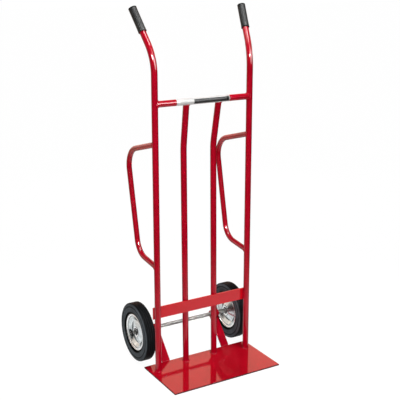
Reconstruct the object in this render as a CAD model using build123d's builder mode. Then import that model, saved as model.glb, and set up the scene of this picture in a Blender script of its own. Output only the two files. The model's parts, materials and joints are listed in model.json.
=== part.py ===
"""Sack truck: welded tube frame, toe plate, rear carrying loops and two solid tyred wheels.

Millimetres, +Z up. The toe plate faces -Y, the wheels are at +Y, and the left side is -X.
The origin is on the floor, midway between the uprights, in the plane of their axes.
"""

import os
from math import asin, atan2, cos, degrees, hypot, pi, radians, sin

from build123d import *

os.makedirs("parts", exist_ok=True)

# Frame tubes and clearances
tube_od = 25.4
tube_wall = 2.0
weld_gap = 0.1
seat_gap = 0.05

# Toe plate
plate_width = 500.0
plate_depth = 266.0
plate_thickness = 5.0
plate_corner_radius = 2.0
plate_edge_bevel = 1.0
plate_front_reach = 204.5

# Uprights and their handles
upright_spacing = 429.0
handle_bend_height = 1285.0
handle_bend_radius = 210.0
handle_rise_height = 180.0
handle_setback = 115.0
handle_spread = 30.0

# Hand grips
grip_od = 32.0
grip_length = 105.0
grip_end_wall = 4.0
grip_end_radius = 7.0
grip_lip_od = 33.6
grip_lip_width = 3.0

# Top cross tube
cross_tube_height = 1111.0

# Inner tubes
inner_spacing = 138.0
inner_top_spacing = 147.0
inner_top_setback = 6.0
inner_bend_height = 925.0
inner_lean = 11.0
inner_bend_radius = 220.0

# Lower cross strap
strap_height = 50.0
strap_thickness = 5.0
strap_low_height = 231.5
strap_end_overhang = 1.5

# Rear loops, in a slimmer tube
loop_tube_od = 22.2
loop_tube_wall = 2.0
loop_top_height = 957.5
loop_top_corner_setback = 249.0
loop_top_corner_height = 890.5
loop_low_corner_setback = 161.5
loop_low_corner_height = 473.5
loop_low_height = 456.0
loop_top_bend_radius = 85.0
loop_low_bend_radius = 75.0

# Axle and its stays
axle_od = 16.0
axle_setback = 154.5
axle_end_reach = 8.0
axle_end_chamfer = 1.5
stay_spacing = 294.0
stay_width = 36.0
stay_thickness = 6.0
stay_eye_angle = 295.0
sleeve_wall = 1.5
washer_thickness = 2.0
washer_rim = 2.6
pin_wire = 3.6
pin_inset = 4.5
pin_tail = 4.0
pin_eye_radius = 3.4
pin_eye_wire = 2.4

# Wheels
wheel_od = 250.0
wheel_track = 456.0
tyre_width = 45.0
tread_width = 39.0
shoulder_drop = 7.0
sidewall_fillet = 5.0
tread_groove_width = 2.4
tread_groove_depth = 2.2
tread_groove_pitch = 9.5
tread_groove_count = 3
toe_ledge_od = 166.0
toe_edge_od = 172.0
toe_fillet = 1.5

# Rim and its two discs
rim_od = 157.0
rim_well_od = 144.0
rim_well_width = 29.0
rim_width = 33.0
rim_sheet = 2.0
rim_bead = 4.0
disc_sheet = 1.8
disc_depth = 1.5
disc_skirt = 10.0
disc_bend_radius = 2.5
dish_od = 100.0
dish_depth = 10.0
collar_length = 8.0
access_hole_width = 18.0
access_hole_length = 44.0
access_hole_radius = 56.5
access_hole_angle = -30.0

# Hub and ball bearings
hub_inner_reach = 21.5
hub_outer_reach = 11.5
hub_proud = 1.0
hub_wall = 2.5
ball_od = 8.0
ball_shoulder = 2.9
ball_spacing = 1.45
cone_wall = 1.2
cup_wall = 1.2
cup_width = 8.6
cone_overhang = 1.0

# Values that follow from the sizes above
tube_radius = tube_od / 2
cope_radius = tube_radius + weld_gap
half_spacing = upright_spacing / 2
plate_rear = plate_depth - plate_front_reach
strap_front = tube_radius + weld_gap
inner_setback = strap_front + strap_thickness + weld_gap + tube_radius
axle_radius = axle_od / 2
axle_height = wheel_od / 2
axle_bore_radius = axle_radius + seat_gap
ball_radius = ball_od / 2
ball_pitch_radius = axle_bore_radius + cone_wall + ball_radius
ball_count = int(2 * pi * ball_pitch_radius / (ball_od * ball_spacing))
cone_shoulder_radius = ball_pitch_radius - ball_shoulder
cup_shoulder_radius = ball_pitch_radius + ball_shoulder
cup_radius = ball_pitch_radius + ball_radius + cup_wall
hub_bore_radius = cup_radius + seat_gap
hub_radius = hub_bore_radius + hub_wall
sleeve_radius = axle_bore_radius + sleeve_wall
washer_stack = cone_overhang + seat_gap + washer_thickness
wheel_centre = wheel_track / 2
axle_half = wheel_centre + hub_outer_reach + washer_stack + axle_end_reach
pin_place = axle_half - pin_inset
axle_line = Axis((0, axle_setback, axle_height), (1, 0, 0))
sides = (("left", -1), ("right", 1))
hub_ends = (("inner", -1, hub_inner_reach), ("outer", 1, hub_outer_reach))


def save(builder, name):
    """Label a finished piece and write it under its own name."""
    builder.part.label = name
    export_step(builder.part, f"parts/{name}.step")


def wheel_plane(side):
    """Half section plane of a wheel: x runs outwards along the axle, y is the radius."""
    centre = (side * wheel_centre, axle_setback, axle_height)
    return Plane(origin=centre, x_dir=(side, 0, 0), z_dir=(0, -side, 0))


def tube_section(plane, outside, wall):
    """Ring shaped tube profile for a sweep that starts on the given plane."""
    with BuildSketch(plane) as profile:
        Circle(outside / 2)
        Circle(outside / 2 - wall, mode=Mode.SUBTRACT)
    return profile.sketch


# Toe plate
with BuildPart() as toe_plate:
    with BuildSketch():
        with Locations((0, plate_rear - plate_depth / 2)):
            RectangleRounded(plate_width, plate_depth, plate_corner_radius)
    extrude(amount=plate_thickness)
    chamfer(toe_plate.edges().group_by(Axis.Z)[-1], plate_edge_bevel)
save(toe_plate, "toe_plate")

# Uprights, each one tube from the toe plate to the handle end
for side_name, side in sides:
    foot = Vector(side * half_spacing, 0, plate_thickness)
    bend = Vector(side * half_spacing, 0, handle_bend_height)
    handle_tip = bend + Vector(side * handle_spread, handle_setback, handle_rise_height)
    handle_way = (handle_tip - bend).normalized()
    tube_end = handle_tip - handle_way * (grip_end_wall + seat_gap)
    with BuildPart() as upright:
        with BuildLine() as route:
            FilletPolyline(foot, bend, tube_end, radius=handle_bend_radius)
        sweep(tube_section(Plane(origin=foot, z_dir=(0, 0, 1)), tube_od, tube_wall), path=route.wire())
    save(upright, f"{side_name}_upright")

    # Rubber grip with a closed, rounded end and a lip at its mouth
    grip_plane = Plane(origin=handle_tip - handle_way * grip_length, z_dir=handle_way)
    with BuildPart() as grip:
        with BuildSketch(grip_plane):
            Circle(grip_od / 2)
        extrude(amount=grip_length)
        fillet(grip.faces().sort_by(Axis(grip_plane.origin, handle_way))[-1].edges(), grip_end_radius)
        with BuildSketch(grip_plane):
            Circle(grip_lip_od / 2)
        extrude(amount=grip_lip_width)
        with BuildSketch(grip_plane):
            Circle(tube_radius + seat_gap)
        extrude(amount=grip_length - grip_end_wall, mode=Mode.SUBTRACT)
    save(grip, f"{side_name}_grip")

# Top cross tube, coped over the uprights at both ends
with BuildPart() as top_cross_tube:
    with BuildSketch(Plane.YZ.offset(-half_spacing)):
        with Locations((0, cross_tube_height)):
            Circle(tube_radius)
            Circle(tube_radius - tube_wall, mode=Mode.SUBTRACT)
    extrude(amount=upright_spacing)
    with BuildSketch(Plane.XY.offset(cross_tube_height - tube_od)):
        with Locations((-half_spacing, 0), (half_spacing, 0)):
            Circle(cope_radius)
    extrude(amount=2 * tube_od, mode=Mode.SUBTRACT)
save(top_cross_tube, "top_cross_tube")

# Inner tubes, leant back behind the strap and bent forward to meet the cross tube from below
lean_share = (strap_low_height - plate_thickness) / (inner_bend_height - plate_thickness)
foot_setback = inner_setback - inner_lean * lean_share
for side_name, side in sides:
    foot = Vector(side * inner_spacing / 2, foot_setback, plate_thickness)
    bend = Vector(side * inner_spacing / 2, foot_setback + inner_lean, inner_bend_height)
    top = Vector(side * inner_top_spacing / 2, inner_top_setback, cross_tube_height)
    with BuildPart() as inner_tube:
        with BuildLine() as route:
            FilletPolyline(foot, bend, top, radius=inner_bend_radius)
        sweep(tube_section(Plane(origin=foot, z_dir=(0, 0, 1)), tube_od, tube_wall), path=route.wire())
        with BuildSketch(Plane.YZ.offset(-half_spacing)):
            with Locations((0, cross_tube_height)):
                Circle(cope_radius)
        extrude(amount=upright_spacing, mode=Mode.SUBTRACT)
    save(inner_tube, f"{side_name}_inner_tube")

# Lower cross strap, a flat bar behind the uprights and in front of the inner tubes
with BuildPart() as lower_cross_strap:
    with BuildSketch(Plane.XZ.offset(-strap_front)):
        with Locations((0, strap_low_height + strap_height / 2)):
            Rectangle(upright_spacing + tube_od + 2 * strap_end_overhang, strap_height)
    extrude(amount=-strap_thickness)
save(lower_cross_strap, "lower_cross_strap")

# Rear loops, each one bent tube coped onto the back of its upright
for side_name, side in sides:
    loop_x = side * half_spacing
    top_end = Vector(loop_x, 0, loop_top_height)
    top_corner = Vector(loop_x, loop_top_corner_setback, loop_top_corner_height)
    low_corner = Vector(loop_x, loop_low_corner_setback, loop_low_corner_height)
    low_end = Vector(loop_x, 0, loop_low_height)
    bend_radii = (loop_top_bend_radius, loop_low_bend_radius)
    with BuildPart() as rear_loop:
        with BuildLine() as route:
            FilletPolyline(top_end, top_corner, low_corner, low_end, radius=bend_radii)
        start = Plane(origin=top_end, z_dir=top_corner - top_end)
        sweep(tube_section(start, loop_tube_od, loop_tube_wall), path=route.wire())
        with BuildSketch(Plane.XY.offset(loop_low_height - tube_od)):
            with Locations((loop_x, 0)):
                Circle(cope_radius)
        extrude(amount=loop_top_height - loop_low_height + 2 * tube_od, mode=Mode.SUBTRACT)
    save(rear_loop, f"{side_name}_rear_loop")

# Axle stays, flat bars from the back of the toe plate, each rolled into an eye round a sleeve
eye_centre_radius = sleeve_radius + seat_gap + stay_thickness / 2
stay_run = axle_setback - plate_rear
stay_climb = axle_height - plate_thickness
axle_distance = hypot(stay_run, stay_climb)
stay_angle = atan2(stay_climb, stay_run) - asin(eye_centre_radius / axle_distance)
stay_length = (axle_distance**2 - eye_centre_radius**2) ** 0.5
stay_foot = Vector(plate_rear, plate_thickness)
stay_way = Vector(cos(stay_angle), sin(stay_angle))
for side_name, side in sides:
    with BuildPart() as axle_stay:
        with BuildSketch(Plane.YZ.offset(side * stay_spacing / 2 - stay_width / 2)):
            with BuildLine():
                Line(stay_foot - stay_way * 2 * stay_thickness, stay_foot + stay_way * stay_length)
                CenterArc(
                    (axle_setback, axle_height), eye_centre_radius, degrees(stay_angle) - 90, stay_eye_angle
                )
            trace(line_width=stay_thickness)
        extrude(amount=stay_width)
        split(bisect_by=Plane.XZ.offset(-plate_rear - weld_gap), keep=Keep.BOTTOM)
        split(bisect_by=Plane.XY.offset(weld_gap), keep=Keep.TOP)
    save(axle_stay, f"{side_name}_axle_stay")

# Axle, one bright rod with chamfered ends and a cross hole for each split pin
with BuildPart() as axle:
    with BuildSketch(Plane.YZ.offset(-axle_half)):
        with Locations((axle_setback, axle_height)):
            Circle(axle_radius)
    extrude(amount=2 * axle_half)
    chamfer(axle.edges().filter_by(GeomType.CIRCLE), axle_end_chamfer)
    with Locations((-pin_place, axle_setback, axle_height), (pin_place, axle_setback, axle_height)):
        Cylinder(pin_wire / 2 + seat_gap, 2 * axle_od, mode=Mode.SUBTRACT)
save(axle, "axle")

# Half sections shared by both wheels: the rim's centre line and the tyre round it
half_well = rim_well_width / 2
half_rim = rim_width / 2
half_tyre = tyre_width / 2
half_tread = tread_width / 2
well_middle = rim_well_od / 2 - rim_sheet / 2
flange_middle = rim_od / 2 - rim_bead / 2
shoulder_radius = wheel_od / 2 - shoulder_drop
rim_points = (
    (-half_rim, flange_middle),
    (-half_well, well_middle),
    (half_well, well_middle),
    (half_rim, flange_middle),
)
with BuildLine() as rim_line:
    Polyline(*rim_points)
tyre_outline = rim_points + (
    (half_rim, toe_ledge_od / 2),
    (half_tyre, toe_edge_od / 2),
    (half_tyre, shoulder_radius),
    (half_tread, wheel_od / 2),
    (-half_tread, wheel_od / 2),
    (-half_tyre, shoulder_radius),
    (-half_tyre, toe_edge_od / 2),
    (-half_rim, toe_ledge_od / 2),
)

for side_name, side in sides:
    section = wheel_plane(side)

    # Sleeve on the axle, through the stay's eye and out to the inner washer
    sleeve_start = stay_spacing / 2 - stay_width / 2 - wheel_centre
    sleeve_end = -hub_inner_reach - washer_stack - seat_gap
    with BuildPart() as axle_sleeve:
        with BuildSketch(section):
            with Locations(((sleeve_start + sleeve_end) / 2, axle_bore_radius + sleeve_wall / 2)):
                Rectangle(sleeve_end - sleeve_start, sleeve_wall)
        revolve(axis=axle_line)
    save(axle_sleeve, f"{side_name}_axle_sleeve")

    # Washers on both sides of the hub
    for end_name, end, reach in hub_ends:
        with BuildPart() as washer:
            with BuildSketch(section):
                washer_middle = end * (reach + washer_stack - washer_thickness / 2)
                with Locations((washer_middle, axle_bore_radius + washer_rim / 2)):
                    Rectangle(washer_thickness, washer_rim)
            revolve(axis=axle_line)
        save(washer, f"{side_name}_{end_name}_washer")

    # Split pin with its eye on top
    pin_foot = (side * pin_place, axle_setback, axle_height - axle_radius - pin_tail)
    eye_height = axle_height + axle_radius + pin_eye_radius + pin_eye_wire / 2 + seat_gap
    with BuildPart() as split_pin:
        with BuildSketch(Plane(origin=pin_foot, z_dir=(0, 0, 1))):
            Circle(pin_wire / 2)
        extrude(amount=eye_height - pin_eye_radius - pin_foot[2])
        eye_place = Plane(origin=(side * pin_place, axle_setback, eye_height), z_dir=(1, 0, 0))
        with Locations(eye_place):
            Torus(pin_eye_radius, pin_eye_wire / 2)
    save(split_pin, f"{side_name}_split_pin")

    # Solid rubber tyre with a grooved flat tread, seated in the rim's channel
    with BuildPart() as tyre:
        with BuildSketch(section) as tyre_section:
            with BuildLine():
                Polyline(*tyre_outline, close=True)
            make_face()
            fillet(tyre_section.vertices().group_by(Axis.Y)[-3], toe_fillet)
            shoulders = tyre_section.vertices().group_by(Axis.Y)[-2:]
            fillet([corner for row in shoulders for corner in row], sidewall_fillet)
            with Locations((0, wheel_od / 2)):
                with GridLocations(tread_groove_pitch, 1, tread_groove_count, 1):
                    Rectangle(tread_groove_width, 2 * tread_groove_depth, mode=Mode.SUBTRACT)
            trace(rim_line.line, line_width=rim_sheet + 2 * seat_gap, mode=Mode.SUBTRACT)
            with Locations((half_rim, flange_middle), (-half_rim, flange_middle)):
                Circle(rim_bead / 2 + seat_gap, mode=Mode.SUBTRACT)
        revolve(axis=axle_line)
    save(tyre, f"{side_name}_tyre")

    # Rim channel with a rolled bead along both flanges
    with BuildPart() as rim:
        with BuildSketch(section):
            trace(rim_line.line, line_width=rim_sheet)
            with Locations((half_rim, flange_middle), (-half_rim, flange_middle)):
                Circle(rim_bead / 2)
        revolve(axis=axle_line)
    save(rim, f"{side_name}_rim")

    # Pressed discs, each a dish between a skirt inside the rim and a collar on the hub
    skirt_middle = rim_well_od / 2 - rim_sheet - seat_gap - disc_sheet / 2
    collar_middle = hub_radius + seat_gap + disc_sheet / 2
    for end_name, end, reach in hub_ends:
        face_place = half_rim - disc_depth
        collar_place = reach - hub_proud
        disc_route = (
            (end * (face_place - disc_skirt), skirt_middle),
            (end * face_place, skirt_middle),
            (end * (face_place - dish_depth), dish_od / 2),
            (end * collar_place, collar_middle),
            (end * (collar_place - collar_length), collar_middle),
        )
        with BuildPart() as disc:
            with BuildSketch(section):
                with BuildLine():
                    FilletPolyline(*disc_route, radius=disc_bend_radius)
                trace(line_width=disc_sheet)
            revolve(axis=axle_line)
            if end_name == "outer":
                turn = radians(access_hole_angle)
                hole_offset = (cos(turn) * access_hole_radius, sin(turn) * access_hole_radius)
                hole_place = (axle_setback + hole_offset[0], axle_height + hole_offset[1])
                with BuildSketch(Plane.YZ.offset(side * wheel_centre)):
                    with Locations(hole_place):
                        Ellipse(access_hole_width / 2, access_hole_length / 2, rotation=access_hole_angle)
                extrude(amount=side * tyre_width, mode=Mode.SUBTRACT)
        save(disc, f"{side_name}_{end_name}_disc")

    # Hub tube, with a ball bearing at each end: cup and balls turn with the wheel
    with BuildPart() as hub_tube:
        with BuildSketch(section):
            hub_middle = (hub_outer_reach - hub_inner_reach) / 2
            with Locations((hub_middle, hub_bore_radius + hub_wall / 2)):
                Rectangle(hub_outer_reach + hub_inner_reach, hub_wall)
        revolve(axis=axle_line)
    save(hub_tube, f"{side_name}_hub_tube")

    for end_name, end, reach in hub_ends:
        ball_middle = end * (reach - cup_width / 2)
        with BuildPart() as bearing_cup:
            with BuildSketch(section):
                with Locations((ball_middle, (cup_shoulder_radius + cup_radius) / 2)):
                    Rectangle(cup_width, cup_radius - cup_shoulder_radius)
                with Locations((ball_middle, ball_pitch_radius)):
                    Circle(ball_radius + seat_gap, mode=Mode.SUBTRACT)
            revolve(axis=axle_line)
        save(bearing_cup, f"{side_name}_{end_name}_bearing_cup")

        with BuildPart() as bearing_balls:
            ball_plane = Plane(
                origin=(side * (wheel_centre + ball_middle), axle_setback, axle_height), z_dir=(1, 0, 0)
            )
            with Locations(ball_plane):
                with PolarLocations(ball_pitch_radius, ball_count):
                    Sphere(ball_radius)
        save(bearing_balls, f"{side_name}_{end_name}_bearing_balls")

        cone_width = cup_width + cone_overhang
        cone_middle = end * (reach + cone_overhang - cone_width / 2)
        with BuildPart() as bearing_cone:
            with BuildSketch(section):
                with Locations((cone_middle, (axle_bore_radius + cone_shoulder_radius) / 2)):
                    Rectangle(cone_width, cone_shoulder_radius - axle_bore_radius)
                with Locations((ball_middle, ball_pitch_radius)):
                    Circle(ball_radius + seat_gap, mode=Mode.SUBTRACT)
            revolve(axis=axle_line)
        save(bearing_cone, f"{side_name}_{end_name}_bearing_cone")
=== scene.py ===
import json
from math import atan2, cos, pi, radians, sin, sqrt

import bmesh
import bpy
from mathutils import Matrix, Vector


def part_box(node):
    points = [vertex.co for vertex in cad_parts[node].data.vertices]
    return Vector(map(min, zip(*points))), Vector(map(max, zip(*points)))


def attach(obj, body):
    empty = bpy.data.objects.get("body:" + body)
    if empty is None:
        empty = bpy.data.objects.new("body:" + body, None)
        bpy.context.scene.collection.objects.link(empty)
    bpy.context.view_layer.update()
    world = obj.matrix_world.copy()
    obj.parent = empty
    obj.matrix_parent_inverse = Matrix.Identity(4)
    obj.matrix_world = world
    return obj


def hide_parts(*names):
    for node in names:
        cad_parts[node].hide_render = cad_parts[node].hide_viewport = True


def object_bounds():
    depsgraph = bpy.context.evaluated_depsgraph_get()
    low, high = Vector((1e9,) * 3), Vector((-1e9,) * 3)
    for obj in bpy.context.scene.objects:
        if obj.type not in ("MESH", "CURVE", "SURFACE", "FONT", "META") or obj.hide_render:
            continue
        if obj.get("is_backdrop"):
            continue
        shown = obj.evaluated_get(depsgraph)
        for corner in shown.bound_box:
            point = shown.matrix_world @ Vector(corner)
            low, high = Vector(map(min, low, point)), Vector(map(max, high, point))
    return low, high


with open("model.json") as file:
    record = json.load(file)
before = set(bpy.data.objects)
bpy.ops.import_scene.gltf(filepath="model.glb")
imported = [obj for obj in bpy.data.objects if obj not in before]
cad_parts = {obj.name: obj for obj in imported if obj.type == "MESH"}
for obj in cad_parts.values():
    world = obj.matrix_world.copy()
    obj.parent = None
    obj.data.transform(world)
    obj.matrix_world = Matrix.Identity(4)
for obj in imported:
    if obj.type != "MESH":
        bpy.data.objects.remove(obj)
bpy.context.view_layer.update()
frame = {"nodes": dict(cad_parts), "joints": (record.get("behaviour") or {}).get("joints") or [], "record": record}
nodes = frame["nodes"]
scene = bpy.context.scene

# Flat pieces that the added pieces meet, and the axle, from the frame in metres
plate_rear, plate_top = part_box("toe_plate")[1].yz
strap_start, strap_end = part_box("lower_cross_strap")
strap_front, strap_low = strap_start.yz
strap_back, strap_high = strap_end.yz
stay_start, stay_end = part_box("right_axle_stay")
stay_place = (stay_start.x + stay_end.x) / 2
stay_half_width = (stay_end.x - stay_start.x) / 2
axle_setback, axle_height = frame["joints"][0]["pos_m"][1:]

# Tubes that the added pieces meet, in metres
tube_radius = 0.0127
loop_tube_radius = 0.0111
upright_place = 0.2145
cross_height = 1.111
inner_place = 0.069
inner_foot_setback = 0.0279
inner_bend_setback = 0.0389
inner_bend_height = 0.925
inner_top_place = 0.0735
inner_top_setback = 0.006
loop_top = (Vector((0, 0, 0.9575)), Vector((0, 0.249, -0.067)))
loop_low = (Vector((0, 0, 0.456)), Vector((0, 0.1615, 0.0175)))
handle_bend = Vector((upright_place, 0, 1.285))
handle_tip = Vector((upright_place + 0.03, 0.115, 1.465))
grip_length = 0.105
sides = (("left", -1), ("right", 1))
up = Vector((0, 0, 1))
along = Vector((1, 0, 0))


# Node helpers; a socket is a pair of a node and the name or number of its socket
def add(tree, kind, inputs=(), **settings):
    """Add one node, set its options and the values of its sockets."""
    node = tree.nodes.new("ShaderNode" + kind)
    for key, value in settings.items():
        setattr(node, key, value)
    for socket, value in dict(inputs).items():
        node.inputs[socket].default_value = value
    return node


def join(tree, source, target):
    """Link one socket to another."""
    tree.links.new(source[0].outputs[source[1]], target[0].inputs[target[1]])


def combine(tree, operation, first, second):
    """Math on two sockets."""
    node = add(tree, "Math", operation=operation)
    join(tree, first, (node, 0))
    join(tree, second, (node, 1))
    return node, "Value"


def remap(tree, source, limits, **settings):
    """Map a socket's range to another range."""
    node = add(tree, "MapRange", limits, **settings)
    join(tree, source, (node, "Value"))
    return node, "Result"


def soft_step(tree, source, start, end):
    """Share that goes softly from 0 to 1 between two values of a socket."""
    return remap(tree, source, {"From Min": start, "From Max": end}, interpolation_type="SMOOTHSTEP")


def mix_colours(tree, share, first, second):
    """Mix of two colours by a share; each colour is a socket, or a fixed tone of three numbers."""
    mixed = add(tree, "MixRGB")
    join(tree, share, (mixed, "Fac"))
    for name, colour in (("Color1", first), ("Color2", second)):
        if len(colour) == 2:
            join(tree, colour, (mixed, name))
        else:
            mixed.inputs[name].default_value = (*colour, 1)
    return mixed, "Color"


def split_axes(tree, source):
    """The X, Y and Z of a vector socket."""
    split = add(tree, "SeparateXYZ")
    join(tree, source, (split, "Vector"))
    return split


def start_finish(name):
    """New node material: the material, its tree, its shader and the object's own coordinates."""
    material = bpy.data.materials.new(name)
    material.use_nodes = True
    tree = material.node_tree
    shader = tree.nodes["Principled BSDF"]
    place = add(tree, "TexCoord")
    return material, tree, shader, place


def noise(tree, place, scale, detail=3.0, stretch=None):
    """Noise on the object's own coordinates, in features per metre, stretched where asked."""
    texture = add(tree, "TexNoise", {"Scale": scale, "Detail": detail, "Roughness": 0.55})
    if stretch is None:
        join(tree, (place, "Object"), (texture, "Vector"))
    else:
        mapping = add(tree, "Mapping", {"Scale": stretch})
        join(tree, (place, "Object"), (mapping, "Vector"))
        join(tree, (mapping, "Vector"), (texture, "Vector"))
    return texture


def tones(tree, texture, shader, dark, light, low=0.35, high=0.65):
    """Colour that wanders between two tones of one finish."""
    ramp = add(tree, "ValToRGB")
    ramp.color_ramp.elements[0].position = low
    ramp.color_ramp.elements[0].color = (*dark, 1)
    ramp.color_ramp.elements[1].position = high
    ramp.color_ramp.elements[1].color = (*light, 1)
    join(tree, (texture, "Fac"), (ramp, "Fac"))
    join(tree, (ramp, "Color"), (shader, "Base Color"))
    return ramp


def gloss(tree, texture, shader, low, high):
    """Roughness that follows a texture between two values."""
    span = remap(tree, (texture, "Fac"), {"To Min": low, "To Max": high})
    join(tree, span, (shader, "Roughness"))


def relief(tree, texture, shader, strength, distance, under=None):
    """Fine surface relief from a texture, over another relief where one is given."""
    bump = add(tree, "Bump", {"Strength": strength, "Distance": distance})
    join(tree, (texture, "Fac"), (bump, "Height"))
    if under is not None:
        join(tree, (under, "Normal"), (bump, "Normal"))
    join(tree, (bump, "Normal"), (shader, "Normal"))
    return bump


# Finishes of the truck
def make_enamel(name, dark, light, rough, peel, shine):
    """Glossy crimson enamel with a faint drift of colour and an orange peel skin."""
    material, tree, shader, place = start_finish(name)
    tones(tree, noise(tree, place, scale=11.0, detail=4.0), shader, dark, light)
    gloss(tree, noise(tree, place, scale=60.0), shader, *rough)
    waves = noise(tree, place, scale=45.0, detail=2.0)
    drift = relief(tree, waves, shader, strength=0.08, distance=0.0006)
    skin = noise(tree, place, scale=620.0, detail=2.0)
    relief(tree, skin, shader, strength=peel, distance=0.00025, under=drift)
    shader.inputs["Specular IOR Level"].default_value = shine
    return material


# How far a plate's surface may turn from looking up, and the tone of the painted shade on its edges
flat_top_turn = 0.9
painted_edge_shade_tone = (0.075, 0.0010, 0.0050)


def paint_shade_on_edges(material):
    """Painted shade: dark paint on a flat plate's edges, wherever the surface doesn't look up, stands in for the
    shade there.
    """
    tree = material.node_tree
    shader = tree.nodes["Principled BSDF"]
    paint = shader.inputs["Base Color"].links[0].from_node
    smooth = shader.inputs["Roughness"].links[0].from_node
    facing = split_axes(tree, (add(tree, "NewGeometry"), "Normal"))
    edge = add(tree, "Math", {1: flat_top_turn}, operation="LESS_THAN")
    join(tree, (facing, "Z"), (edge, 0))
    shaded_paint = mix_colours(tree, (edge, "Value"), (paint, "Color"), painted_edge_shade_tone)
    join(tree, shaded_paint, (shader, "Base Color"))
    dull = combine(tree, "MAXIMUM", (smooth, "Result"), (edge, "Value"))
    join(tree, dull, (shader, "Roughness"))


def axle_reach(tree, place):
    """Distance of a point from the axle's line."""
    shift = add(tree, "Mapping", {"Location": (0, -axle_setback, -axle_height)})
    join(tree, (place, "Object"), (shift, "Vector"))
    flat = add(tree, "VectorMath", {1: (0, 1, 1)}, operation="MULTIPLY")
    join(tree, (shift, "Vector"), (flat, 0))
    reach = add(tree, "VectorMath", operation="LENGTH")
    join(tree, (flat, "Vector"), (reach, 0))
    return reach, "Value"


# Painted shade on a disc's faces inside the wheel: how far they turn to that side, and their tone
shade_turn = 0.25
painted_shade_tone = (0.030, 0.032, 0.040)


def make_zinc(name, dark, light, shade_side=0):
    """Bright zinc plate with spun rings about the axle's line; painted shade on the faces that look to one side,
    into the wheel's hollow.
    """
    material, tree, shader, place = start_finish(name)
    rings = add(tree, "TexNoise", {"Scale": 900.0, "Detail": 3.0}, noise_dimensions="1D")
    join(tree, axle_reach(tree, place), (rings, "W"))
    bright = tones(tree, noise(tree, place, scale=70.0, detail=4.0), shader, dark, light)
    gloss(tree, rings, shader, low=0.14, high=0.28)
    hollows = noise(tree, place, scale=40.0, detail=2.0)
    dents = relief(tree, hollows, shader, strength=0.12, distance=0.0012)
    relief(tree, rings, shader, strength=0.18, distance=0.0002, under=dents)
    shader.inputs["Metallic"].default_value = 1.0
    if shade_side:
        turned = add(tree, "VectorMath", {1: (shade_side, 0, 0)}, operation="DOT_PRODUCT")
        join(tree, (add(tree, "NewGeometry"), "Normal"), (turned, 0))
        inside = add(tree, "Math", {1: shade_turn}, operation="GREATER_THAN")
        join(tree, (turned, "Value"), (inside, 0))
        shaded_zinc = mix_colours(tree, (inside, "Value"), (bright, "Color"), painted_shade_tone)
        join(tree, shaded_zinc, (shader, "Base Color"))
    return material


def make_drawn_steel():
    """Bright drawn bar with fine marks along its length and a little grey bloom."""
    material, tree, shader, place = start_finish("drawn_steel")
    marks = noise(tree, place, scale=1.0, detail=4.0, stretch=(6.0, 700.0, 700.0))
    bloom = noise(tree, place, scale=28.0, detail=4.0)
    tones(tree, bloom, shader, dark=(0.18, 0.18, 0.18), light=(0.28, 0.28, 0.27))
    gloss(tree, marks, shader, low=0.38, high=0.55)
    relief(tree, marks, shader, strength=0.22, distance=0.0002)
    shader.inputs["Metallic"].default_value = 1.0
    return material


def make_oiled_steel():
    """Dark oiled steel of the sleeves and the balls."""
    material, tree, shader, place = start_finish("oiled_steel")
    blotch = noise(tree, place, scale=90.0, detail=4.0)
    tones(tree, blotch, shader, dark=(0.030, 0.030, 0.032), light=(0.085, 0.083, 0.080))
    gloss(tree, blotch, shader, low=0.28, high=0.48)
    relief(tree, noise(tree, place, scale=500.0), shader, strength=0.12, distance=0.0002)
    shader.inputs["Metallic"].default_value = 0.85
    return material


# Tones of the tyre by distance from the axle: painted shade in the groove at the rim, a sidewall lighter than the
# tread (dust, and a painted sheen), two ribs painted lighter as a painted highlight with painted shade between
# them, then the tread
inner_rib_reach = 0.1045
outer_rib_reach = 0.1135
tyre_ring_tones_and_painted_light = (
    # Painted shade in the groove beside the rim
    (0.0865, 0.0015),
    (0.0890, 0.088),
    (0.1030, 0.105),
    # Ribs painted lighter as a painted highlight, with painted shade in the band between them
    (inner_rib_reach, 0.130),
    (0.1062, 0.036),
    (0.1118, 0.036),
    (outer_rib_reach, 0.130),
    (0.1150, 0.100),
    (0.1205, 0.088),
    (0.1235, 0.009),
)
rings_start = 0.080
rings_end = 0.130
tyre_tint = (0.88, 1.0, 1.12)


def ring_share(reach):
    """Place on the ramp of the tyre's rings of a distance from the axle."""
    return (reach - rings_start) / (rings_end - rings_start)


def make_tyre_rubber():
    """Moulded black rubber: dark tread; a sidewall with dust, a painted sheen, ribs painted lighter and painted
    shade between them; painted shade in the groove beside the rim.
    """
    material, tree, shader, place = start_finish("tyre_rubber")
    across = remap(tree, axle_reach(tree, place), {"From Min": rings_start, "From Max": rings_end})
    rings = add(tree, "ValToRGB")
    stops = rings.color_ramp.elements
    for reach, _ in tyre_ring_tones_and_painted_light[:-2]:
        stops.new(ring_share(reach))
    for stop, (reach, tone) in zip(stops, tyre_ring_tones_and_painted_light):
        stop.position = ring_share(reach)
        stop.color = (*(share * tone for share in tyre_tint), 1)
    join(tree, across, (rings, "Fac"))
    bloom = noise(tree, place, scale=22.0, detail=5.0)
    dusty = {"From Min": 0.35, "From Max": 0.65, "To Min": 0.7, "To Max": 1.2}
    skin = add(tree, "VectorMath", operation="SCALE")
    join(tree, (rings, "Color"), (skin, "Vector"))
    join(tree, remap(tree, (bloom, "Fac"), dusty), (skin, "Scale"))
    join(tree, (skin, "Vector"), (shader, "Base Color"))
    gloss(tree, bloom, shader, low=0.34, high=0.50)
    grain = noise(tree, place, scale=900.0, detail=2.0)
    relief(tree, grain, shader, strength=0.20, distance=0.0003)
    shader.inputs["Specular IOR Level"].default_value = 0.02
    return material


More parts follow.
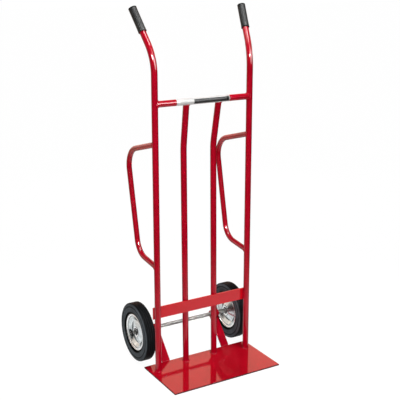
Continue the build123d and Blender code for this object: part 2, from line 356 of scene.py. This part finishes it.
def make_grip_rubber():
    """Matt dark grey rubber of the hand grips."""
    material, tree, shader, place = start_finish("grip_rubber")
    bloom = noise(tree, place, scale=35.0, detail=4.0)
    tones(tree, bloom, shader, dark=(0.009, 0.010, 0.010), light=(0.018, 0.019, 0.019))
    gloss(tree, bloom, shader, low=0.42, high=0.55)
    grain = noise(tree, place, scale=1100.0, detail=2.0)
    relief(tree, grain, shader, strength=0.25, distance=0.0003)
    shader.inputs["Specular IOR Level"].default_value = 0.30
    return material


tube_tones = (0.35, 0.0008, 0.0110), (0.41, 0.0016, 0.0150)
# The strap's copy of the crimson enamel is painted lighter than the tubes': painted light and sheen for how light
# falls on the flat bar
bar_tones_painted_lighter = (0.54, 0.0018, 0.0080), (0.60, 0.0028, 0.0110)
plate_tones = (0.36, 0.0018, 0.0090), (0.41, 0.0028, 0.0120)
tube_enamel = make_enamel("crimson_enamel_on_tube", *tube_tones, (0.06, 0.11), peel=0.06, shine=0.50)
bar_enamel_painted_lighter = make_enamel("crimson_enamel_on_bar_painted_lighter", *bar_tones_painted_lighter, (0.06, 0.10), peel=0.08, shine=0.50)
plate_enamel = make_enamel("crimson_enamel_on_plate", *plate_tones, (0.04, 0.07), peel=0.05, shine=0.45)
weld_enamel = make_enamel("crimson_enamel_on_welds", *tube_tones, (0.14, 0.26), peel=0.35, shine=0.40)
# Painted shade on the toe plate's edges
paint_shade_on_edges(plate_enamel)
rim_tones = (0.80, 0.81, 0.82), (0.93, 0.93, 0.92)
pressed_tones = (0.56, 0.60, 0.61), (0.74, 0.78, 0.79)
bright_zinc = make_zinc("bright_zinc", *rim_tones)
# Pressed discs with painted shade on the side that faces into the wheel
zinc_shaded_left = make_zinc("pressed_zinc_shaded_to_the_left", *pressed_tones, shade_side=-1)
zinc_shaded_right = make_zinc("pressed_zinc_shaded_to_the_right", *pressed_tones, shade_side=1)
tyre_rubber = make_tyre_rubber()
grip_rubber = make_grip_rubber()

finish_of = {
    "red_paint": tube_enamel,
    "zinc_plate": bright_zinc,
    "bright_steel": make_drawn_steel(),
    "dark_steel": make_oiled_steel(),
    "tyre_rubber": tyre_rubber,
    "grip_rubber": grip_rubber,
}
for subpart in frame["record"]["subparts"]:
    node = nodes[subpart["node"]]
    node.data.materials.clear()
    node.data.materials.append(finish_of[subpart["material_slot"]])
special_finishes = {
    "toe_plate": plate_enamel,
    "lower_cross_strap": bar_enamel_painted_lighter,
    # Each pressed disc gets painted shade on its face inside the wheel
    "left_inner_disc": zinc_shaded_left,
    "right_outer_disc": zinc_shaded_left,
    "left_outer_disc": zinc_shaded_right,
    "right_inner_disc": zinc_shaded_right,
}
for name, finish in special_finishes.items():
    nodes[name].data.materials[0] = finish


# Added pieces
def keep_piece(bm, name, finish, body):
    """Make a smooth shaded piece of a finished bmesh, and let it ride on a body."""
    mesh = bpy.data.meshes.new(name)
    bm.to_mesh(mesh)
    bm.free()
    mesh.shade_smooth()
    mesh.materials.append(finish)
    piece = bpy.data.objects.new(name, mesh)
    scene.collection.objects.link(piece)
    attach(piece, body)
    return piece


merge_distance = 1e-6


def spin_round(bm, axis, steps, centre=(0, 0, 0)):
    """Spin all of an outline through a full turn and close its seam."""
    outline = bm.verts[:] + bm.edges[:]
    bmesh.ops.spin(bm, geom=outline, cent=centre, axis=axis, angle=2 * pi, steps=steps, use_merge=True)
    bmesh.ops.remove_doubles(bm, verts=bm.verts[:], dist=merge_distance)


# Weld beads
bead_radius = 0.0025
bead_sides = 8
bead_pitch = 0.0030
bead_seat = 0.2
bead_end_share = 0.35
steps_per_ripple = 4
ripple_height = 0.10
slow_swells = ((0.10, 0.021, 1), (0.07, 0.013, 2))
phase_across = 90
phase_up = 40


def bead_phase(root):
    """Start of the slow swells, different at each weld."""
    return root.x * phase_across + root.z * phase_up


def bead_swell(travel, phase):
    """Uneven thickness of a weld bead: its ripples and two slow swells."""
    ripple = ripple_height * sin(2 * pi * travel / bead_pitch)
    slow = 0.0
    for height, length, turns in slow_swells:
        slow += height * sin(2 * pi * travel / length + turns * phase)
    return 1 + ripple + slow


def weld_ring(name, root, way, radius, host_way=None, host_radius=0.0, setback=Vector()):
    """Bead round a tube's end, on a plate, or bent to the round tube that the end meets, off its axis."""
    way = way.normalized()
    guide = along if host_way is None else host_way
    lean = guide.dot(way)
    across = (guide - way * lean).normalized()
    offset = way.cross(across).dot(setback)
    ripples = round(2 * pi * radius / bead_pitch)
    bm = bmesh.new()
    stand = Matrix.Translation((radius + bead_seat * bead_radius, 0, 0)) @ Matrix.Rotation(pi / 2, 4, "X")
    bmesh.ops.create_circle(bm, segments=bead_sides, radius=bead_radius, matrix=stand)
    spin_round(bm, axis=(0, 0, 1), steps=ripples * steps_per_ripple)
    for vert in bm.verts:
        angle = atan2(vert.co.y, vert.co.x)
        core = Vector((cos(angle), sin(angle), 0)) * radius
        swell = bead_swell(angle / (2 * pi) * ripples * bead_pitch, bead_phase(root))
        vert.co = core + (vert.co - core) * swell
        if host_way is not None:
            chord = host_radius**2 - (radius * sin(angle) + offset) ** 2
            reach = sqrt(max(chord, 0.0)) + radius * cos(angle) * lean
            vert.co.z += reach / sqrt(1 - lean**2)
    bmesh.ops.recalc_face_normals(bm, faces=bm.faces[:])
    turn = Matrix((across, way.cross(across), way)).transposed().to_4x4()
    bmesh.ops.transform(bm, matrix=Matrix.Translation(root) @ turn, verts=bm.verts[:])
    return keep_piece(bm, name, weld_enamel, "frame")


def weld_run(name, start, end):
    """Straight bead along a corner, tapered at both ends."""
    way = end - start
    steps = round(way.length / bead_pitch) * steps_per_ripple
    bm = bmesh.new()
    lay = Matrix.Translation(start) @ way.to_track_quat("Z", "Y").to_matrix().to_4x4()
    bmesh.ops.create_circle(bm, segments=bead_sides, radius=bead_radius, matrix=lay)
    bmesh.ops.spin(
        bm,
        geom=bm.verts[:] + bm.edges[:],
        cent=start,
        axis=way,
        dvec=way / steps,
        angle=0,
        steps=steps,
        use_merge=False,
    )
    bmesh.ops.holes_fill(bm, edges=bm.edges[:], sides=bead_sides)
    for vert in bm.verts:
        travel = (vert.co - start).dot(way) / way.length
        core = start + way * (travel / way.length)
        ends = min(1.0, bead_end_share + min(travel, way.length - travel) / bead_pitch)
        vert.co = core + (vert.co - core) * bead_swell(travel, bead_phase(start)) * ends
    bmesh.ops.recalc_face_normals(bm, faces=bm.faces[:])
    return keep_piece(bm, name, weld_enamel, "frame")


strap_corner_reach = 0.0085
strap_bead_lift = 0.0012
strap_end_margin = 0.002
stay_end_margin = 0.001

for side_name, side in sides:
    upright = Vector((side * upright_place, 0, 0))
    weld_ring(f"{side_name}_upright_foot_weld", upright + up * plate_top, up, tube_radius)
    inner_foot = Vector((side * inner_place, inner_foot_setback, plate_top))
    weld_ring(f"{side_name}_inner_tube_foot_weld", inner_foot, up, tube_radius)
    cross_end = upright + up * cross_height
    weld_ring(f"{side_name}_cross_tube_weld", cross_end, along * -side, tube_radius, up, tube_radius)
    setback = Vector((0, inner_top_setback, 0))
    inner_top = Vector((side * inner_top_place, 0, cross_height)) + setback
    inner_bend = Vector((side * inner_place, inner_bend_setback, inner_bend_height))
    inner_way = inner_bend - inner_top
    top_weld = f"{side_name}_inner_tube_top_weld"
    weld_ring(top_weld, inner_top, inner_way, tube_radius, along, tube_radius, setback)
    for end_name, (root, way) in (("top", loop_top), ("low", loop_low)):
        loop_weld = f"{side_name}_loop_{end_name}_weld"
        weld_ring(loop_weld, upright + root, way, loop_tube_radius, up, tube_radius)

    # Beads in the corners between the strap and the tubes that it crosses
    crossings = (
        ("strap", upright_place, strap_front - strap_bead_lift),
        ("inner_tube", inner_place, strap_back + strap_bead_lift),
    )
    for edge_name, edge in (("inner", -1), ("outer", 1)):
        for tube_name, tube_place, bead_setback in crossings:
            run_x = side * (tube_place + edge * strap_corner_reach)
            low = Vector((run_x, bead_setback, strap_low + strap_end_margin))
            high = Vector((run_x, bead_setback, strap_high - strap_end_margin))
            weld_run(f"{side_name}_{tube_name}_{edge_name}_weld", low, high)

    # Bead along the toe plate's rear edge, in front of the stay
    start = Vector((side * stay_place - stay_half_width + stay_end_margin, plate_rear, plate_top))
    end = Vector((side * stay_place + stay_half_width - stay_end_margin, plate_rear, plate_top))
    weld_run(f"{side_name}_stay_weld", start, end)


# Blank two tone label, wrapped round the front of the cross tube
label_start = -0.125
label_end = 0.115
label_dark_start = -0.048
label_dark_end = 0.1105
label_dark_half_height = 0.0088
label_gap = 0.00005
label_thickness = 0.00025
label_wrap = 230.0
label_cuts = 11
label_steps = 46
label_white = (0.50, 0.50, 0.49), (0.58, 0.58, 0.57)
label_charcoal = (0.008, 0.008, 0.009), (0.020, 0.020, 0.021)


def make_label_vinyl():
    """White vinyl with one plain charcoal panel, satin and slightly uneven."""
    material, tree, shader, place = start_finish("label_vinyl")
    axes = split_axes(tree, (place, "Object"))
    middle = (label_dark_start + label_dark_end) / 2
    half = (label_dark_end - label_dark_start) / 2
    width = add(tree, "Math", {1: middle, 2: half}, operation="COMPARE")
    join(tree, (axes, "X"), (width, 0))
    height = add(tree, "Math", {1: cross_height, 2: label_dark_half_height}, operation="COMPARE")
    join(tree, (axes, "Z"), (height, 0))
    panel = combine(tree, "MULTIPLY", (width, "Value"), (height, "Value"))
    grain = noise(tree, place, scale=160.0, detail=4.0)
    white = mix_colours(tree, (grain, "Fac"), *label_white)
    charcoal = mix_colours(tree, (grain, "Fac"), *label_charcoal)
    join(tree, mix_colours(tree, panel, white, charcoal), (shader, "Base Color"))
    gloss(tree, grain, shader, low=0.30, high=0.42)
    waves = noise(tree, place, scale=70.0, detail=2.0)
    relief(tree, waves, shader, strength=0.10, distance=0.0004)
    shader.inputs["Specular IOR Level"].default_value = 0.30
    return material


bm = bmesh.new()
first = bm.verts.new((label_start, 0, cross_height))
second = bm.verts.new((label_end, 0, cross_height))
bm.edges.new((first, second))
bmesh.ops.subdivide_edges(bm, edges=bm.edges[:], cuts=label_cuts)
raise_up = Matrix.Translation((0, 0, tube_radius + label_gap))
bmesh.ops.transform(bm, matrix=raise_up, verts=bm.verts[:])
tube_centre = Vector((0, 0, cross_height))
start_turn = Matrix.Rotation(radians(90 - label_wrap / 2), 3, "X")
bmesh.ops.rotate(bm, cent=tube_centre, matrix=start_turn, verts=bm.verts[:])
bmesh.ops.spin(
    bm,
    geom=bm.verts[:] + bm.edges[:],
    cent=tube_centre,
    axis=along,
    angle=radians(label_wrap),
    steps=label_steps,
)
bmesh.ops.recalc_face_normals(bm, faces=bm.faces[:])
bmesh.ops.solidify(bm, geom=bm.faces[:], thickness=label_thickness)
keep_piece(bm, "cross_tube_label", make_label_vinyl(), "frame")


# Hand grips with lengthwise flutes, in place of the plain ones
grip_radius = 0.016
grip_bore = 0.01275
grip_bore_depth = 0.101
grip_bore_margin = 1e-4
grip_lip_radius = 0.0166
grip_lip_width = 0.0028
grip_lip_end = 0.0040
grip_end_rounding = 0.007
grip_end_steps = 6
grip_rings = 40
flute_count = 20
flute_depth = 0.00055
flute_start = 0.010
flute_end = 0.092
flute_fade = 0.006
steps_per_flute = 8


def flute_share(travel):
    """How deep the flutes are at a distance from the grip's mouth, faded at both ends."""
    rise = min(max((travel - flute_start) / flute_fade, 0.0), 1.0)
    fall = min(max((flute_end - travel) / flute_fade, 0.0), 1.0)
    return rise * fall


def on_end_rim(vert):
    """Whether a vertex is on the sharp rim at the grip's closed end."""
    at_end = vert.co.z > grip_length - merge_distance
    return at_end and vert.co.xy.length > grip_radius - merge_distance


for side_name, side in sides:
    mirror = Vector((side, 1, 1))
    tip = handle_tip * mirror
    way = (tip - handle_bend * mirror).normalized()
    bm = bmesh.new()
    outline = (
        (0.0, grip_bore_depth),
        (grip_bore, grip_bore_depth),
        (grip_bore, 0.0),
        (grip_lip_radius, 0.0),
        (grip_lip_radius, grip_lip_width),
        (grip_radius, grip_lip_end),
        (grip_radius, grip_length),
        (0.0, grip_length),
    )
    corners = [bm.verts.new((radius, 0, travel)) for radius, travel in outline]
    walls = [bm.edges.new(pair) for pair in zip(corners, corners[1:])]
    outer_wall = walls[-2]
    bmesh.ops.subdivide_edges(bm, edges=[outer_wall], cuts=grip_rings)
    spin_round(bm, axis=(0, 0, 1), steps=flute_count * steps_per_flute)
    end_rim = [edge for edge in bm.edges if all(on_end_rim(vert) for vert in edge.verts)]
    bmesh.ops.bevel(
        bm,
        geom=end_rim,
        offset=grip_end_rounding,
        offset_type="OFFSET",
        affect="EDGES",
        segments=grip_end_steps,
        profile=0.5,
        material=-1,
    )
    for vert in bm.verts:
        radius = vert.co.xy.length
        if radius > grip_bore + grip_bore_margin:
            angle = atan2(vert.co.y, vert.co.x)
            cut = flute_depth * flute_share(vert.co.z) * (0.5 - 0.5 * cos(flute_count * angle))
            vert.co.xy *= 1 - cut / radius
    bmesh.ops.recalc_face_normals(bm, faces=bm.faces[:])
    mouth = Matrix.Translation(tip - way * grip_length)
    stand = mouth @ way.to_track_quat("Z", "Y").to_matrix().to_4x4()
    bmesh.ops.transform(bm, matrix=stand, verts=bm.verts[:])
    grip = keep_piece(bm, f"{side_name}_fluted_grip", grip_rubber, "frame")
    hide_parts(f"{side_name}_grip")


# Moulded ribs on both sidewalls of each tyre
rib_radius = 0.0013
rib_sink = 0.0006
rib_sides = 10
rib_steps = 180

for side_name, side in sides:
    tyre_low, tyre_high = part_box(f"{side_name}_tyre")
    faces = {-1: tyre_low[0] + rib_sink, 1: tyre_high[0] - rib_sink}
    for face_name, face in (("outer", 1), ("inner", -1)):
        face_x = faces[side * face]
        for number, reach in enumerate((inner_rib_reach, outer_rib_reach), 1):
            bm = bmesh.new()
            stand = Matrix.Translation((face_x, 0, reach)) @ Matrix.Rotation(pi / 2, 4, "X")
            bmesh.ops.create_circle(bm, segments=rib_sides, radius=rib_radius, matrix=stand)
            spin_round(bm, axis=along, steps=rib_steps, centre=(face_x, 0, 0))
            bmesh.ops.recalc_face_normals(bm, faces=bm.faces[:])
            bmesh.ops.translate(bm, vec=(0, axle_setback, axle_height), verts=bm.verts[:])
            rib_name = f"{side_name}_tyre_{face_name}_rib_{number}"
            keep_piece(bm, rib_name, tyre_rubber, f"{side_name}_wheel")


# Studio: what each kind of ray sees of the backdrop and the floor
def camera_share(tree, path):
    """1 for rays that come from the camera, straight or through glass."""
    return combine(tree, "MAXIMUM", (path, "Is Camera Ray"), (path, "Is Transmission Ray"))


def mix_shaders(tree, share, first, second):
    """Mix of two shaders by a share."""
    mixed = add(tree, "MixShader")
    join(tree, share, (mixed, "Fac"))
    join(tree, first, (mixed, 1))
    join(tree, second, (mixed, 2))
    return mixed, "Shader"


def fade_echo(tree, path, strength):
    """Full strength in a first reflection, and little of it in a reflection of a reflection."""
    depths = {"From Min": 1.0, "From Max": 2.0, "To Min": 1.0, "To Max": 0.15}
    return combine(tree, "MULTIPLY", strength, remap(tree, (path, "Glossy Depth"), depths))


studio_white = (1, 1, 1, 1)
ambient_strength = 0.06
sweep_left_tone = (0.79, 0.68, 0.60)
sweep_right_tone = (1.0, 0.59, 0.45)
sweep_strengths = {"To Min": 0.10, "To Max": 1.55}


def make_studio():
    """World: white for the camera, little plain light, and a warm sweep behind in reflections."""
    world = bpy.data.worlds.new("studio")
    world.use_nodes = True
    scene.world = world
    tree = world.node_tree
    ambient = tree.nodes["Background"]
    ambient.inputs["Color"].default_value = studio_white
    ambient.inputs["Strength"].default_value = ambient_strength
    backdrop = add(tree, "Background", {"Color": studio_white, "Strength": 1.0})
    sweep = add(tree, "Background")
    toward = split_axes(tree, (add(tree, "TexCoord"), "Generated"))
    behind = soft_step(tree, (toward, "Y"), start=0.25, end=0.60)
    right = soft_step(tree, (toward, "X"), start=-0.2, end=0.0)
    low = soft_step(tree, (toward, "Z"), start=0.40, end=0.28)
    below = soft_step(tree, (toward, "Z"), start=0.64, end=0.54)
    join(tree, mix_colours(tree, right, sweep_left_tone, sweep_right_tone), (sweep, "Color"))
    open_side = combine(tree, "MAXIMUM", right, low)
    wall = combine(tree, "MULTIPLY", behind, below)
    lit = combine(tree, "MULTIPLY", wall, open_side)
    path = add(tree, "LightPath")
    join(tree, fade_echo(tree, path, remap(tree, lit, sweep_strengths)), (sweep, "Strength"))
    seen = mix_shaders(tree, camera_share(tree, path), (ambient, "Background"), (backdrop, "Background"))
    chosen = mix_shaders(tree, (path, "Is Glossy Ray"), seen, (sweep, "Background"))
    join(tree, chosen, (tree.nodes["World Output"], "Surface"))


make_studio()

floor_half_size = 30.0
floor_drop = 0.0008
sheet_near_tone = (0.42, 0.42, 0.42)
sheet_far_tone = (0.28, 0.28, 0.28)
mirror_near_tone = (1, 1, 1)
mirror_far_tone = (1.0, 0.72, 0.52)
glow_strengths = {"To Min": 1.18, "To Max": 1.01}
glow_shares = {"To Min": 0.80, "To Max": 0.985}
far_mirror_strengths = {"To Min": 0.03, "To Max": 0.70}
# Strength of the painted pool of light that the floor gives off near the truck, in reflections
painted_pool_strengths = {"From Min": -0.60, "From Max": -0.25, "To Min": 0.40, "To Max": 0.95}


def make_floor_finish():
    """Pale paper: near white for the camera, with the truck's shade, and a painted pool of light that glows in
    reflections.
    """
    material, tree, paper, place = start_finish("pale_floor")
    spread = add(tree, "VectorMath", operation="LENGTH")
    join(tree, (place, "Object"), (spread, 0))
    far = soft_step(tree, (spread, "Value"), start=0.7, end=1.7)
    join(tree, mix_colours(tree, far, sheet_near_tone, sheet_far_tone), (paper, "Base Color"))
    paper.inputs["Roughness"].default_value = 0.9
    paper.inputs["Specular IOR Level"].default_value = 0.0
    glow = add(tree, "Emission", {"Color": studio_white})
    join(tree, remap(tree, far, glow_strengths), (glow, "Strength"))

    # Painted light that the floor gives off in reflections only: a glowing pool near the truck, and a glowing
    # strip of floor behind it, to the left
    heading = add(tree, "VectorMath", operation="NORMALIZE")
    join(tree, (place, "Object"), (heading, 0))
    toward = split_axes(tree, (heading, "Vector"))
    behind = soft_step(tree, (toward, "Y"), start=0.3, end=0.7)
    left = soft_step(tree, (toward, "X"), start=0.4, end=0.1)
    strip = combine(tree, "MULTIPLY", behind, left)
    slant = add(tree, "VectorMath", {1: (1, 1, 0)}, operation="DOT_PRODUCT")
    join(tree, (place, "Object"), (slant, 0))
    mirror_strength = add(tree, "Mix")
    join(tree, far, (mirror_strength, "Factor"))
    join(tree, remap(tree, (slant, "Value"), painted_pool_strengths), (mirror_strength, "A"))
    join(tree, remap(tree, strip, far_mirror_strengths), (mirror_strength, "B"))
    path = add(tree, "LightPath")
    mirrored = add(tree, "Emission")
    join(tree, mix_colours(tree, far, mirror_near_tone, mirror_far_tone), (mirrored, "Color"))
    join(tree, fade_echo(tree, path, (mirror_strength, "Result")), (mirrored, "Strength"))

    seen = remap(tree, far, glow_shares)
    share = combine(tree, "MULTIPLY", camera_share(tree, path), seen)
    shown = mix_shaders(tree, share, (paper, "BSDF"), (glow, "Emission"))
    chosen = mix_shaders(tree, (path, "Is Glossy Ray"), shown, (mirrored, "Emission"))
    join(tree, chosen, (tree.nodes["Material Output"], "Surface"))
    return material


bm = bmesh.new()
bmesh.ops.create_grid(bm, x_segments=1, y_segments=1, size=floor_half_size)
bmesh.ops.translate(bm, vec=(0, 0, -floor_drop), verts=bm.verts[:])
floor_mesh = bpy.data.meshes.new("floor")
bm.to_mesh(floor_mesh)
bm.free()
floor_mesh.materials.append(make_floor_finish())
floor = bpy.data.objects.new("floor", floor_mesh)
scene.collection.objects.link(floor)
floor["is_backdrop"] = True


# Lamps
def add_lamp(name, place, aim, width, height, power, spread=180.0):
    """Soft box lamp that faces a point of the truck, with a grid where its spread is narrow."""
    data = bpy.data.lights.new(name, "AREA")
    data.shape = "RECTANGLE"
    data.size = width
    data.size_y = height
    data.energy = power
    data.spread = radians(spread)
    lamp = bpy.data.objects.new(name, data)
    lamp.location = place
    lamp.rotation_mode = "QUATERNION"
    lamp.rotation_quaternion = (Vector(aim) - Vector(place)).to_track_quat("-Z", "Y")
    lamp.visible_camera = False
    scene.collection.objects.link(lamp)
    return lamp


truck_middle = (0, 0, 0.7)
add_lamp("top_lamp", place=(0.1, -0.9, 4.8), aim=(0, 0, 0.6), width=1.2, height=1.2, power=172.0)
add_lamp("left_top_lamp", place=(-1.3, -0.3, 3.0), aim=truck_middle, width=0.8, height=0.8, power=12.0)

# Lamps that only light the paint, and leave no highlight
washes = (
    add_lamp("key_lamp", place=(-1.76, -2.97, 1.4), aim=truck_middle, width=0.5, height=0.5, power=76.0),
    add_lamp("fill_lamp", place=(0.8, -3.4, 2.2), aim=truck_middle, width=0.5, height=0.5, power=9.0),
    add_lamp("back_lamp", place=(1.75, 2.95, 0.9), aim=truck_middle, width=0.8, height=0.8, power=90.0),
)
for lamp in washes:
    lamp.visible_glossy = False

# Lamps that only show as highlights, in what the camera sees first
handle_place = (0.29, -1.17, 3.12)
cross_place = (0.98, -2.02, 1.95)
loop_place = (-1.3, -3.2, 2.5)
front_place = (0.8, -3.4, 2.8)
right_place = (2.6, -2.1, 2.25)
highlights = (
    add_lamp("handle_box", handle_place, aim=(0, 0, 1.4), width=0.7, height=0.7, power=34.0),
    add_lamp("cross_box", cross_place, aim=(-0.05, 0, 1.5), width=0.7, height=1.2, power=5.5, spread=60.0),
    add_lamp("loop_spot", loop_place, aim=(0, 0.2, 0.64), width=0.5, height=0.5, power=40.0, spread=14.0),
    add_lamp("front_strip", front_place, aim=truck_middle, width=0.35, height=2.4, power=56.0),
    add_lamp("right_strip", right_place, aim=truck_middle, width=0.35, height=1.0, power=24.0),
)
first_reflection_depth = 2.5
for lamp in highlights:
    lamp.visible_diffuse = False
    lamp.data.use_nodes = True
    tree = lamp.data.node_tree
    seen_first = add(tree, "Math", {1: first_reflection_depth}, operation="LESS_THAN")
    join(tree, (add(tree, "LightPath"), "Ray Depth"), (seen_first, 0))
    join(tree, (seen_first, "Value"), (tree.nodes["Emission"], "Strength"))

# Camera at the photograph's angle
camera_data = bpy.data.cameras.new("camera")
camera_data.sensor_width = 36.0
camera_data.lens = 74.72
camera = bpy.data.objects.new("camera", camera_data)
camera.location = (-1.6506, -2.7635, 1.6118)
camera.rotation_mode = "QUATERNION"
camera.rotation_quaternion = Vector((0.4901, 0.8286, -0.2706)).to_track_quat("-Z", "Y")
scene.collection.objects.link(camera)
scene.camera = camera
scene.view_settings.view_transform = "Standard"

low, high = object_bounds()
